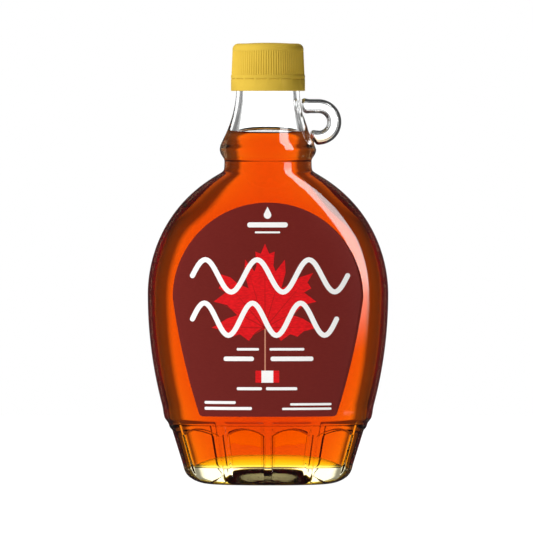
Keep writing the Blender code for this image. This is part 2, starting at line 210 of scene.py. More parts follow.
# Places of the print in the photograph's pixels
PHOTO_MIDDLE_X = 268.0
PHOTO_BASE_Y = 483.6
PHOTO_PIXEL = 0.4
PHOTO_RISE = 0.75
LEAF_X = 265
LEAF_TOP_Y = 244
LEAF_BASE_Y = 327.5
STEM = (264.4, 326, 265.8, 371)
WAVE_LEFT_X = 193
UPPER_WAVE_RIGHT_X = 347
UPPER_WAVE_Y = 276
LOWER_WAVE_RIGHT_X = 336
LOWER_WAVE_Y = 319
DROP_X = 267.5
DROP_TOP_Y = 207.5
DROP_LOW_Y = 219.5
EMBLEM_TOP_Y = 370
EMBLEM_LOW_Y = 382
EMBLEM_FIELD = (255.5, EMBLEM_TOP_Y, 279.2, EMBLEM_LOW_Y)
EMBLEM_LEFT_STRIPE = (255.5, EMBLEM_TOP_Y, 261.5, EMBLEM_LOW_Y)
EMBLEM_RIGHT_STRIPE = (273.2, EMBLEM_TOP_Y, 279.2, EMBLEM_LOW_Y)

# Bars that stand where the label has rows of text: left, top, right and bottom pixel, and corner in mm
BARS = (
    (247.5, 223, 287.5, 228, 0.9),
    (255, 232, 280, 233.8, 0.3),
    (237, 347.5, 259, 350, 0.4),
    (269.5, 347.5, 304, 350, 0.4),
    (224, 356, 254, 360.5, 0.8),
    (270.5, 356, 313, 360.5, 0.8),
    (237, 386.5, 262, 389.5, 0.5),
    (266, 386.5, 297, 389.5, 0.5),
    (205, 400.5, 236, 403.3, 0.5),
    (205, 406.3, 252, 409.3, 0.5),
    (290, 402.5, 331, 404.8, 0.4),
    (282, 407, 331, 409.3, 0.4),
)

# Sizes of the print in millimetres
WAVE_HEIGHT = 6.4
WAVE_COUNT = 3
WAVE_THICK = 2.0
STEM_CORNER = 0.2
FIELD_CORNER = 0.3
STRIPE_CORNER = 0.2
DROP_BELLY_SHARE = 0.31
LEAF_PROUD = 0.015
VEIN_PROUD = 0.022
CREAM_PROUD = 0.03
STRIPE_PROUD = 0.045

# Right half of the leaf, then the tips of its veins, as shares of the leaf's height
LEAF_HALF = (
    (0.0, 1.0),
    (0.05, 0.88),
    (0.115, 0.905),
    (0.10, 0.74),
    (0.125, 0.67),
    (0.235, 0.81),
    (0.245, 0.66),
    (0.195, 0.47),
    (0.33, 0.53),
    (0.41, 0.60),
    (0.57, 0.65),
    (0.505, 0.54),
    (0.55, 0.47),
    (0.465, 0.42),
    (0.61, 0.31),
    (0.45, 0.27),
    (0.33, 0.15),
    (0.45, 0.11),
    (0.63, 0.0),
    (0.46, -0.04),
    (0.385, -0.105),
    (0.30, -0.075),
    (0.19, -0.155),
    (0.12, -0.06),
    (0.012, 0.015),
)
LEAF_VEIN_TIPS = ((0.0, 0.92), (0.20, 0.70), (0.50, 0.59), (0.54, 0.30), (0.54, 0.01), (0.17, -0.10))

# Looks. Colours are linear, and a pair is the two ends of a faint noise.
RAMP_START = 0.3
RAMP_END = 0.7
NO_TINT = (1.0, 1.0, 1.0)
CLEAR_GLASS = ((0.97, 0.985, 0.98), NO_TINT)
# Painted yellow light in the glass's base, standing in for light that comes up through the thin syrup
BASE_PAINTED_LIGHT = (1.0, 0.93, 0.62)
FILLED_TINT = (1.0, 0.80, 0.55)
GLASS_IOR = 1.52
SYRUP = ((1.0, 0.97, 0.93), (1.0, 1.0, 0.98))
SYRUP_VOLUME = (0.9667, 0.838, 0.02, 1.0)
SYRUP_DENSITY = 600.0
SYRUP_IOR = 1.49
CAP_YELLOW = ((0.66, 0.44, 0.05), (0.74, 0.50, 0.06))
MAROON = ((0.148, 0.0125, 0.0095), (0.166, 0.0155, 0.0115))
PAPER_BACK = ((0.75, 0.72, 0.64), (0.82, 0.79, 0.72))
CREAM = ((0.95, 0.94, 0.91), (0.99, 0.98, 0.96))
RED = ((0.60, 0.006, 0.009), (0.86, 0.008, 0.012))
DARK_RED = ((0.46, 0.006, 0.007), (0.54, 0.008, 0.009))
TAN = ((0.55, 0.22, 0.13), (0.60, 0.26, 0.16))
PRINT_ROUGHNESS = 0.45
PALE_GROUND = ((0.86, 0.86, 0.86), (0.9, 0.9, 0.9))
GROUND_GLOW = 1.14
GROUND_GLOW_SHARE = 0.88

# Camera, in metres and degrees
CAMERA_AWAY = 2.2
CAMERA_RISE = 2.0
FRAME_WIDTH = 0.2132
AIM = (-0.0006, 0.0, 0.0868)
SENSOR = 36.0

# Key light, which stands to the left of the camera
KEY_AZIMUTH = -56
KEY_ELEVATION = 35
KEY_AWAY = 1.3
KEY_SIDE = 0.8
KEY_RADIANCE = 6.0

# Pale ground
GROUND_RADIUS = 0.45
GROUND_Z = -0.0004
GROUND_SIDES = 64

# World as it is seen through glass. A fade runs over the direction's part along one axis, and the
# window's and the skirt's run over the squared distance from the window's middle.
WINDOW_HALF_WIDTH = 0.47
WINDOW_HALF_HEIGHT = 0.46
WINDOW_FADE = (0.75, 1.25)
WINDOW_GLOW = 1.6
SKIRT_FADE = (1.0, 3.0)
SKIRT_GLOW = 0.28
FRONT_FADE = (-0.3, 0.3)
FRONT_SHARE = 0.35
DIM_GLOW = 0.12
BELOW_FADE = (-0.75, -0.45)
BELOW_GLOW = 0.9
BESIDE_FADE = (0.70, 0.92)
BESIDE_GLOW = 0.42

# World as it is mirrored: a strip of light at the right, and a faint glow all round
MIRRORED_GLOW = 0.06
STRIP_AZIMUTH = 54.0
STRIP_HALF_WIDTH = 0.18
STRIP_EDGE_SHARES = (0.9, 1.1)
STRIP_GLOW = 10.0
STRIP_FRONT_FADE = (0.0, 0.1)
STRIP_LOW_FADE = (-0.18, 0.14)
STRIP_HIGH_FADE = (0.80, 0.92)

# World as it lights matt surfaces, from the left
LIGHT_FADE = (-0.3, 0.6)
LIGHT_GLOW = 0.70

# Fineness
HOLLOW_SIDES = 160
TUBE_SIDES = 36
OUTLINE_SAMPLES = 14401
HOLLOW_ROWS_FROM_Z = 19
NECK_ROWS_FROM_Z = 112
NECK_ROWS_TO_Z = 162
BODY_ROW = 1.6
NECK_ROW = 0.8
LEAST_ROW = 0.3
LABEL_COLUMNS = 56
WAVE_STEPS = 28
CLEAR_BOUNCES = 24
GLOSSY_BOUNCES = 8


def smooth_max(a, b, blend):
    """The larger of two values, rounded over where they cross."""
    return 0.5 * (a + b + math.sqrt((a - b) ** 2 + blend**2))


def smooth_min(a, b, blend):
    """The smaller of two values, rounded over where they cross."""
    return 0.5 * (a + b - math.sqrt((a - b) ** 2 + blend**2))


def smooth_step(x):
    x = min(max(x, 0.0), 1.0)
    return x * x * (3 - 2 * x)


def mix(a, b, share):
    return a + (b - a) * share


def horn_rise(z):
    drop = min(max(HORN_TOP_Z - z, 0.0), HORN_ROUND)
    return HORN_ROUND - math.sqrt(HORN_ROUND**2 - drop**2)


def neck_radius(z):
    horn = FINISH_RADIUS + horn_rise(z)
    below = min(max(BULGE_CENTRE_Z - z, 0.0), BULGE_ROUND)
    above = max(z - BULGE_CENTRE_Z, 0.0)
    bulge = BULGE_CENTRE_RADIUS + math.sqrt(BULGE_ROUND**2 - below**2)
    return smooth_max(smooth_min(horn, bulge, BULGE_BLEND), WAIST_RADIUS - WAIST_FALL * above, WAIST_BLEND)


def neck_inner_radius(z):
    horn = BORE_RADIUS + HORN_INNER_SHARE * horn_rise(z)
    return smooth_min(horn, NECK_INNER_RADIUS, NECK_INNER_BLEND)


def body_half_width(z, wall=0.0):
    height = z - WIDEST_Z
    if height < 0:
        return HALF_WIDTH - wall - (FLANK_RADIUS - math.sqrt(FLANK_RADIUS**2 - height**2))
    arc = math.sqrt(max((SHOULDER_RADIUS - wall) ** 2 - height**2, 0.0))
    drop = SHOULDER_DROP * (height / SHOULDER_DROP_REACH) ** SHOULDER_DROP_POWER
    return HALF_WIDTH - SHOULDER_RADIUS + arc - drop


def body_half_depth(z, wall=0.0):
    return HALF_DEPTH - wall - DEPTH_FALL * (z - DEEPEST_Z) ** 2


def round_share(z):
    """How far the section has turned from the flask's oval into the neck's circle."""
    return smooth_step((z - ROUND_FROM_Z) / (ROUND_AT_Z - ROUND_FROM_Z))


def power_at(z):
    return mix(BODY_POWER, ROUND_POWER, round_share(z))


def heel_short(share):
    """How far the heel's round has drawn in at this share of its height."""
    return 1 - math.sqrt(1 - (1 - min(share, 1.0)) ** 2)


def outer_halves(z):
    """Half width and half depth of the glass, without the panels and the handle."""
    if z > BULGE_CENTRE_Z:
        return neck_radius(z), neck_radius(z)
    lip = LEDGE_LIP * (1 - smooth_step((z - LEDGE_HIGH_Z) / LEDGE_LIP_REACH))
    width = body_half_width(z) + lip
    depth = body_half_depth(z) + lip
    if z < LEDGE_HIGH_Z:
        share = smooth_step((z - LEDGE_LOW_Z) / (LEDGE_HIGH_Z - LEDGE_LOW_Z))
        foot_width = FOOT_HALF_WIDTH - FOOT_TAPER_WIDTH * (LEDGE_HIGH_Z - z)
        foot_depth = FOOT_HALF_DEPTH - FOOT_TAPER_DEPTH * (LEDGE_HIGH_Z - z)
        width = mix(foot_width, width, share) - HEEL_IN_WIDTH * heel_short(z / HEEL_HEIGHT)
        depth = mix(foot_depth, depth, share) - HEEL_IN_DEPTH * heel_short(z / HEEL_FRONT_HEIGHT)
    if z > WIDEST_Z:
        width = smooth_max(width, neck_radius(z), SHOULDER_BLEND)
        depth = mix(depth, neck_radius(z), round_share(z))
    return width, depth


def inner_halves(z, reach=0.0):
    """Half width and half depth of the hollow, moved out by the reach."""
    if z > BULGE_CENTRE_Z:
        return neck_inner_radius(z) + reach, neck_inner_radius(z) + reach
    width = body_half_width(z, WALL)
    depth = body_half_depth(z, WALL)
    if z > WIDEST_Z:
        width = smooth_max(width, neck_inner_radius(z), SHOULDER_BLEND)
        depth = mix(depth, neck_inner_radius(z), round_share(z))
    return width + reach, depth + reach


def oval(width, depth, power, turns):
    """Points of a superellipse, where turn 0 is the front and a quarter turn is +X."""
    x = np.sin(turns)
    y = -np.cos(turns)
    across = np.sign(x) * np.abs(x) ** (2 / power) * width
    along = np.sign(y) * np.abs(y) ** (2 / power) * depth
    return across, along


def even_turns(count):
    return np.arange(count) * (2 * math.pi / count)


def ring(width, depth, power, turns, z):
    x, y = oval(width, depth, power, turns)
    return np.column_stack([x, y, np.full(len(turns), float(z))])


def lofted(rings):
    """Vertices and faces of a closed skin over rings. A ring may have twice the points of the next."""
    starts = np.concatenate([[0], np.cumsum([len(points) for points in rings])])
    vertices = [tuple(point) for points in rings for point in points]
    faces = []
    for low in range(len(rings) - 1):
        a, b = int(starts[low]), int(starts[low + 1])
        n, m = len(rings[low]), len(rings[low + 1])
        if n == m:
            for i in range(n):
                j = (i + 1) % n
                faces.append((a + i, a + j, b + j, b + i))
            continue
        for i in range(m):
            j = (i + 1) % m
            first, middle, last = 2 * i, 2 * i + 1, (2 * i + 2) % n
            faces.append((a + first, a + middle, b + i))
            faces.append((a + middle, a + last, b + j, b + i))
    for index in (0, len(rings) - 1):
        vertices.append(tuple(np.mean(rings[index], axis=0)))
        hub = len(vertices) - 1
        start, n = int(starts[index]), len(rings[index])
        for i in range(n):
            j = (i + 1) % n
            faces.append((start + j, start + i, hub) if index == 0 else (start + i, start + j, hub))
    return vertices, faces


def mesh_object(name, vertices, faces):
    mesh = bpy.data.meshes.new(name)
    mesh.from_pydata([(float(x) * MM, float(y) * MM, float(z) * MM) for x, y, z in vertices], [], faces)
    mesh.validate()
    mesh.polygons.foreach_set("use_smooth", [True] * len(mesh.polygons))
    obj = bpy.data.objects.new(name, mesh)
    bpy.context.scene.collection.objects.link(obj)
    return obj


def combined(obj, others, operation):
    """The object with a Boolean against each of the others applied. The others are removed."""
    for other in others:
        made = obj.modifiers.new("Combine", "BOOLEAN")
        made.operation = operation
        made.solver = "MANIFOLD"
        made.object = other
    graph = bpy.context.evaluated_depsgraph_get()
    mesh = bpy.data.meshes.new_from_object(obj.evaluated_get(graph))
    obj.modifiers.clear()
    obj.data = mesh
    mesh.polygons.foreach_set("use_smooth", [True] * len(mesh.polygons))
    for other in others:
        bpy.data.objects.remove(other, do_unlink=True)
    return obj


# Glass and syrup


def panel_columns():
    """Shares of a panel's width, closest together on the slopes beside the pillars."""
    few = 2
    half = list(np.linspace(0, PILLAR_SHARE, 1 + few)[:-1])
    half += list(np.linspace(PILLAR_SHARE, PANEL_EDGE_SHARE, 1 + 2 * few)[:-1])
    half += list(np.linspace(PANEL_EDGE_SHARE, 0.5, 1 + 4 * few)[:-1])
    return half + [0.5] + [1 - share for share in half[:0:-1]]


COLUMNS = panel_columns()


def panel_edges(length):
    """Where the panels start and end along an outline of this length, from the front's middle."""
    side = length / 2 - 4 * PANEL_PITCH
    widths = [PANEL_PITCH, PANEL_PITCH, side, PANEL_PITCH, PANEL_PITCH] * 2
    return [sum(widths[:index]) for index in range(len(widths) + 1)]


def panel_turns():
    """Turns that put each panel's columns in place along the foot's outline."""
    middle = 0.5 * (PANEL_LOW_Z + ARCH_SPRING_Z)
    width, depth = outer_halves(middle)
    fine = np.linspace(0, 2 * math.pi, OUTLINE_SAMPLES)
    x, y = oval(width, depth, BODY_POWER, fine)
    length = np.concatenate([[0], np.cumsum(np.hypot(np.diff(x), np.diff(y)))])
    edges = panel_edges(length[-1])
    wanted = [mix(start, end, column) for start, end in zip(edges, edges[1:]) for column in COLUMNS]
    return np.interp(wanted, length, fine)


def arch_shape(column):
    """Height of the arch over this share of the panel's width, as a share of its rise."""
    half = 0.5 - PILLAR_SHARE
    across = min(abs(column - 0.5) / half, 1.0)
    return 1 - across**2


def panel_depth(column, z):
    """How far the foot lies in at this share of a panel's width and this height."""
    inside = smooth_step((min(column, 1 - column) - PILLAR_SHARE) / (PANEL_EDGE_SHARE - PILLAR_SHARE))
    top = ARCH_SPRING_Z + ARCH_RISE * arch_shape(column)
    up = smooth_step((z - PANEL_LOW_Z) / (PANEL_FLOOR_Z - PANEL_LOW_Z))
    down = smooth_step((top - z) / ARCH_EDGE)
    under_ledge = 1 - smooth_step((z - LEDGE_LOW_Z) / (LEDGE_HIGH_Z - LEDGE_LOW_Z))
    return mix(SPANDREL_RELIEF, PANEL_RELIEF, down) * inside * up * under_ledge


def foot_ring(z, turns, follows):
    """A ring round the panelled foot. It follows the arches' tops by this share."""
    points = []
    for index, turn in enumerate(turns):
        column = COLUMNS[index % len(COLUMNS)]
        height = z + follows * ARCH_RISE * arch_shape(column)
        width, depth = outer_halves(height)
        relief = panel_depth(column, height)
        x, y = oval(width - relief, depth - relief, BODY_POWER, np.array([turn]))
        points.append((x[0], y[0], height))
    return np.array(points)


def outer_glass():
    turns = panel_turns()
    neck_turns = turns[::2]
    inner_width, inner_depth = outer_halves(0.0)
    rings = []
    for share in np.linspace(0.12, RING_INNER_SHARE, 10):
        rise = PUSH_UP * (1 - (share / RING_INNER_SHARE) ** PUSH_UP_POWER)
        rings.append(ring(inner_width * share, inner_depth * share, BODY_POWER, turns, rise))
    rings.append(ring(inner_width, inner_depth, BODY_POWER, turns, 0.0))
    for share in np.linspace(0.1, 0.96, 12):
        z = PANEL_LOW_Z * share**2
        rings.append(ring(*outer_halves(z), BODY_POWER, turns, z))
    arch_low = ARCH_SPRING_Z - ARCH_EDGE - 0.1
    arch_high = ARCH_SPRING_Z + 0.2
    low_rows = np.linspace(PANEL_LOW_Z, PANEL_FLOOR_Z + 0.2, 7)
    side_rows = np.linspace(PANEL_FLOOR_Z + 0.7, ARCH_SPRING_Z - ARCH_EDGE - 0.5, 18)
    arch_rows = np.linspace(arch_low, arch_high, 9)
    for z in np.concatenate([low_rows, side_rows, arch_rows]):
        follows = smooth_step((z - PANEL_FLOOR_Z) / (arch_low - PANEL_FLOOR_Z))
        rings.append(foot_ring(z, turns, follows))
    for share in np.linspace(0.12, 1, 9):
        rings.append(foot_ring(mix(arch_high, LEDGE_LOW_Z - 0.2, share), turns, 1 - share))
    for z in np.linspace(LEDGE_LOW_Z, LEDGE_HIGH_Z, 9):
        rings.append(foot_ring(z, turns, 0.0))
    for z in np.linspace(LEDGE_HIGH_Z + 0.6, 118, 84):
        rings.append(ring(*outer_halves(z), power_at(z), turns, z))
    for z in np.concatenate([np.linspace(118.7, 152, 68), np.linspace(153, HORN_TOP_Z, 8), [RIM_Z]]):
        rings.append(ring(*outer_halves(z), power_at(z), neck_turns, z))
    return mesh_object("flask_glass", *lofted(rings))


def hollow_rings(reach, top_z):
    """Rings of the flask's hollow up to this height, moved out by the reach."""
    turns = even_turns(HOLLOW_SIDES)
    corner_top = FLOOR_Z + FLOOR_CORNER_HEIGHT
    wide, deep = inner_halves(corner_top)
    flat_width = wide - FLOOR_CORNER_WIDTH
    flat_depth = deep - FLOOR_CORNER_DEPTH
    rings = []
    for share in np.linspace(0.08, 0.94, 12):
        z = FLOOR_Z - reach + FLOOR_DOME * (1 - share**FLOOR_POWER)
        rings.append(ring(flat_width * share, flat_depth * share, BODY_POWER, turns, z))
    for degrees in np.linspace(0, 90, 16):
        angle = math.radians(degrees)
        z = FLOOR_Z - reach + (FLOOR_CORNER_HEIGHT + reach) * (1 - math.cos(angle))
        width = flat_width + (FLOOR_CORNER_WIDTH + reach) * math.sin(angle)
        depth = flat_depth + (FLOOR_CORNER_DEPTH + reach) * math.sin(angle)
        rings.append(ring(width, depth, BODY_POWER, turns, z))
    body_rows = np.arange(HOLLOW_ROWS_FROM_Z, NECK_ROWS_FROM_Z, BODY_ROW)
    neck_rows = np.arange(NECK_ROWS_FROM_Z, NECK_ROWS_TO_Z, NECK_ROW)
    for z in np.concatenate([body_rows, neck_rows]):
        if z < top_z - LEAST_ROW:
            rings.append(ring(*inner_halves(z, reach), power_at(z), turns, z))
    rings.append(ring(*inner_halves(top_z, reach), power_at(top_z), turns, top_z))
    return rings


def handle_path():
    """Middle line of the handle, from its upper root round to the lower one."""
    top = HANDLE_Z + HANDLE_ROUND
    path = [(x, top) for x in np.linspace(HANDLE_ROOT_X, HANDLE_X, 18)[:-1]]
    for degrees in np.linspace(90, -90, 60):
        angle = math.radians(degrees)
        x = HANDLE_X + HANDLE_ROUND * math.cos(angle)
        path.append((x, HANDLE_Z + HANDLE_ROUND * math.sin(angle)))
    low = HANDLE_Z - HANDLE_ROUND
    for share in np.linspace(0, 1, 14)[1:]:
        path.append((mix(HANDLE_X, HANDLE_LOW_ROOT_X, share), low - HANDLE_LOW_ROOT_DROP * share))
    return path


def handle_tube(path):
    rings = []
    for index, (x, z) in enumerate(path):
        before = path[max(index - 1, 0)]
        after = path[min(index + 1, len(path) - 1)]
        along = math.atan2(after[1] - before[1], after[0] - before[0])
        clear = max(x - neck_radius(z), 0.0)
        thick = HANDLE_THICK + HANDLE_FLARE * (1 - smooth_step(clear / HANDLE_FLARE_REACH))
        turns = even_turns(TUBE_SIDES)
        out = thick * np.cos(turns)
        across = x - math.sin(along) * out
        rings.append(np.column_stack([across, thick * np.sin(turns), z + math.cos(along) * out]))
    return mesh_object("handle_tube", *lofted(rings))


def soften_seam(mesh, path):
    """Rounds the joint of the handle and the neck by moving points near it to their neighbours' mean."""
    count = len(mesh.vertices)
    points = np.empty(count * 3)
    mesh.vertices.foreach_get("co", points)
    points = points.reshape(-1, 3) / MM
    radii = np.array([neck_radius(z) for z in points[:, 2]])
    from_neck = np.abs(np.hypot(points[:, 0], points[:, 1]) - radii)
    middle = np.array([(x, 0.0, z) for x, z in path])
    from_tube = np.full(count, 1e9)
    near = (points[:, 0] > HANDLE_ROOT_X) & (np.abs(points[:, 1]) < SEAM_HALF_DEPTH)
    near &= (points[:, 2] > SEAM_LOW_Z) & (points[:, 2] < SEAM_HIGH_Z)
    gaps = np.linalg.norm(points[near][:, None, :] - middle[None], axis=2)
    from_tube[near] = np.abs(gaps.min(axis=1) - HANDLE_THICK - SEAM_FLARE)
    away = np.maximum(from_neck, from_tube)
    weight = np.clip(1 - away / SEAM_REACH, 0, 1)
    edges = np.empty(len(mesh.edges) * 2, np.int64)
    mesh.edges.foreach_get("vertices", edges)
    edges = edges.reshape(-1, 2)
    edges = edges[(weight[edges] > 0).any(axis=1)]
    for _ in range(SEAM_ROUNDS):
        total = np.zeros((count, 3))
        number = np.zeros(count)
        np.add.at(total, edges[:, 0], points[edges[:, 1]])
        np.add.at(total, edges[:, 1], points[edges[:, 0]])
        np.add.at(number, edges[:, 0], 1)
        np.add.at(number, edges[:, 1], 1)
        moved = (weight > 0) & (number > 0)
        mean = total[moved] / number[moved][:, None]
        points[moved] += (mean - points[moved]) * (SEAM_STEP * weight[moved])[:, None]
    mesh.vertices.foreach_set("co", (points * MM).ravel())
    mesh.update()


def flask_glass():
    path = handle_path()
    glass = outer_glass()
    combined(glass, [handle_tube(path)], "UNION")
    soften_seam(glass.data, path)
    cutter = mesh_object("hollow", *lofted(hollow_rings(0.0, RIM_Z + 2)))
    return combined(glass, [cutter], "DIFFERENCE")


def mark_wetted(obj):
    """Gives the second material to the faces of the hollow that the syrup touches."""
    for polygon in obj.data.polygons:
        x, y, z = (value / MM for value in polygon.center)
        if not PUSH_UP + WETTED_OVER_PUSH_UP < z < FILL_Z + MENISCUS_RISE:
            continue
        outer_width, outer_depth = outer_halves(z)
        inner_width, inner_depth = inner_halves(z)
        power = power_at(z)
        across = abs(x) / mix(inner_width, outer_width, 0.5)
        along = abs(y) / mix(inner_depth, outer_depth, 0.5)
        if across**power + along**power < 1:
            polygon.material_index = 1


def syrup_fill():
    rings = hollow_rings(SYRUP_REACH, FILL_Z)
    turns = even_turns(HOLLOW_SIDES)
    low = FILL_Z - MENISCUS_ROWS_FROM
    rings = [points for points in rings if points[0, 2] < low - LEAST_ROW]
    for z in np.linspace(low, FILL_Z + MENISCUS_RISE, 6):
        rings.append(ring(*inner_halves(z, SYRUP_REACH), ROUND_POWER, turns, z))
    edge = inner_halves(FILL_Z + MENISCUS_RISE, SYRUP_REACH)[0]
    for share in np.linspace(0.06, 1, 14):
        z = FILL_Z + MENISCUS_RISE * (1 - share) ** 3
        radius = edge - MENISCUS_WIDTH * share
        rings.append(ring(radius, radius, ROUND_POWER, turns, z))
    rings.append(ring(edge * 0.5, edge * 0.5, ROUND_POWER, turns, FILL_Z))
    return mesh_object("syrup_fill", *lofted(rings))


def mark_surface(obj):
    """Gives the second material to the syrup's open surface."""
    for polygon in obj.data.polygons:
        x, y, z = (value / MM for value in polygon.center)
        if z > FILL_Z - 0.1 and math.hypot(x, y) < inner_halves(z)[0] - 0.02:
            polygon.material_index = 1


# Cap


def cap_shell():
    steps = 8
    turns = even_turns(CAP_RIBS * steps)
    ribs = 0.5 - 0.5 * np.cos(turns * CAP_RIBS)
    ribs = ribs**CAP_RIB_ROUND
    bridge_at = turns * CAP_BRIDGES / (2 * math.pi) % 1.0
    past_bridge = np.minimum(bridge_at, 1 - bridge_at) - CAP_BRIDGE_SHARE / 2
    open_slit = np.clip(past_bridge / CAP_BRIDGE_SLOPE, 0, 1)

    def round_ring(radius, z, rib=0.0, slit=0.0):
        reach = radius - CAP_RIB_DEPTH * rib * ribs - slit * open_slit
        height = np.full(len(turns), float(z))
        return np.column_stack([reach * np.sin(turns), -reach * np.cos(turns), height])

    rings = [round_ring(CAP_BORE, CAP_INNER_TOP_Z), round_ring(CAP_BORE, CAP_LOW_Z)]
    for inward, up in CAP_LOW_EDGE:
        rings.append(round_ring(CAP_BAND_RADIUS - inward, CAP_LOW_Z + up))
    for up, depth in CAP_SLIT_EDGE:
        rings.append(round_ring(CAP_BAND_RADIUS, CAP_SLIT_Z - CAP_SLIT_HALF + up, slit=depth))
    for down, depth in reversed(CAP_SLIT_EDGE):
        rings.append(round_ring(CAP_BAND_RADIUS, CAP_SLIT_Z + CAP_SLIT_HALF - down, slit=depth))
    for inward, down in CAP_RING_EDGE:
        rings.append(round_ring(CAP_BAND_RADIUS - inward, CAP_RING_TOP_Z - down))
    skirt_low = CAP_RING_TOP_Z + CAP_STEP_UP
    rings.append(round_ring(CAP_SKIRT_RADIUS - CAP_STEP_IN, skirt_low, rib=CAP_RIB_FOOT_SHARE))
    for share in np.linspace(0.03, 1, 10):
        radius = mix(CAP_SKIRT_RADIUS, CAP_TOP_RADIUS, share)
        rings.append(round_ring(radius, mix(skirt_low, CAP_RIB_TOP_Z, share), rib=1.0))
    for above, rib in CAP_RIB_END:
        rings.append(round_ring(CAP_TOP_RADIUS, CAP_RIB_TOP_Z + above, rib=rib))
    edge_top = CAP_TOP_Z - CAP_CROWN
    for degrees in np.linspace(0, 90, 12):
        angle = math.radians(degrees)
        radius = CAP_TOP_RADIUS - CAP_EDGE_ROUND * (1 - math.cos(angle))
        rings.append(round_ring(radius, edge_top - CAP_EDGE_ROUND * (1 - math.sin(angle))))
    flat = CAP_TOP_RADIUS - CAP_EDGE_ROUND
    dish = list(CAP_DISH_EDGE) + [(radius, CAP_DISH) for radius in CAP_DISH_RADII]
    for radius, dip in dish:
        rings.append(round_ring(radius, CAP_TOP_Z - CAP_CROWN * (radius / flat) ** 2 - dip))
    return mesh_object("cap_shell", *lofted(rings))


# Label and its print


def label_half(z):
    """Half width of the label at this height."""
    if z >= LABEL_ROUND_Z:
        return math.sqrt(max(LABEL_ROUND**2 - (z - LABEL_ROUND_Z) ** 2, 0.0))
    share = (z - LABEL_LOW_Z) / (LABEL_ROUND_Z - LABEL_LOW_Z)
    half = mix(LABEL_LOW_HALF, LABEL_ROUND, share) + LABEL_SIDE_BOW * 4 * share * (1 - share)
    corner = max(LABEL_CORNER - (z - LABEL_LOW_Z), 0.0)
    return half - (LABEL_CORNER - math.sqrt(max(LABEL_CORNER**2 - corner**2, 0.0)))


def front_point(x, z, lift):
    """The point over x on the front of the glass at this height, lifted off it."""
    width, depth = outer_halves(z)
    power = power_at(z)
    across = abs(x) / width
    y = -depth * (1 - across**power) ** (1 / power)
    slope_x = across ** (power - 1) / width
    slope_y = (abs(y) / depth) ** (power - 1) / depth
    size = math.hypot(slope_x, slope_y)
    return (x + math.copysign(slope_x, x) / size * lift, y - slope_y / size * lift, z)


def front_sheet(name, low, high):
    """A sheet between two lifts off the glass, in the label's outline. Its back faces come first."""
    rows = [LABEL_LOW_Z + LABEL_CORNER * share for share in np.linspace(0, 1, 7)]
    rows += list(np.linspace(LABEL_LOW_Z + LABEL_CORNER, LABEL_ROUND_Z, 40)[1:-1])
    for degrees in np.linspace(0, 88, 64):
        rows.append(LABEL_ROUND_Z + LABEL_ROUND * math.sin(math.radians(degrees)))
    columns = LABEL_COLUMNS
    across = columns + 1
    vertices = []
    for lift in (low, high):
        for z in rows:
            half = label_half(z)
            for column in range(across):
                vertices.append(front_point(half * (2 * column / columns - 1), z, lift))
    back = len(rows) * across
    faces = []
    for row in range(len(rows) - 1):
        for column in range(columns):
            a = row * across + column
            faces.append((a + across, a + across + 1, a + 1, a))
    backs = len(faces)
    for row in range(len(rows) - 1):
        for column in range(columns):
            a = back + row * across + column
            faces.append((a, a + 1, a + across + 1, a + across))
    rim = list(range(across))
    rim += [row * across + columns for row in range(1, len(rows))]
    rim += [(len(rows) - 1) * across + column for column in range(columns - 1, -1, -1)]
    rim += [row * across for row in range(len(rows) - 2, 0, -1)]
    for here, after in zip(rim, rim[1:] + rim[:1]):
        faces.append((here, after, back + after, back + here))
    return mesh_object(name, vertices, faces), backs


def prisms(name, loops):
    """Each loop of places on the front, pushed through the bottle's front half along Y."""
    vertices = []
    faces = []
    for loop in loops:
        start = len(vertices)
        n = len(loop)
        for y in (PRISM_FRONT_Y, PRISM_BACK_Y):
            vertices.extend((x, y, z) for x, z in loop)
        faces.append([start + i for i in range(n)])
        faces.append([start + n + i for i in range(n - 1, -1, -1)])
        for i in range(n):
            j = (i + 1) % n
            faces.append((start + j, start + i, start + n + i, start + n + j))
    return mesh_object(name, vertices, faces)


def printed(name, loops, proud):
    """A field of print in the outline of these loops, which stands a little proud of the label."""
    top = LABEL_LIFT + LABEL_THICK
    sheet, _ = front_sheet(name, top - PRINT_SINK, top + proud)
    made = combined(sheet, [prisms(name + "_prism", loops)], "INTERSECT")
    made.data.set_sharp_from_angle(angle=math.radians(30))
    return made


def photo_mm(x, y):
    """A place on the label from the photograph's pixel, in millimetres across and up."""
    return (x - PHOTO_MIDDLE_X) * PHOTO_PIXEL, (PHOTO_BASE_Y - y) * PHOTO_PIXEL + PHOTO_RISE


def bar(x0, y0, x1, y1, corner):
    """A rounded bar between two pixels' corners."""
    left, top = photo_mm(x0, y0)
    right, bottom = photo_mm(x1, y1)
    corner = min(corner, (right - left) / 2 - 0.01, (top - bottom) / 2 - 0.01)
    loop = []
    for cx, cz, start in (
        (right - corner, bottom + corner, -90),
        (right - corner, top - corner, 0),
        (left + corner, top - corner, 90),
        (left + corner, bottom + corner, 180),
    ):
        for degrees in np.linspace(start, start + 90, 7):
            angle = math.radians(degrees)
            loop.append((cx + corner * math.cos(angle), cz + corner * math.sin(angle)))
    return loop


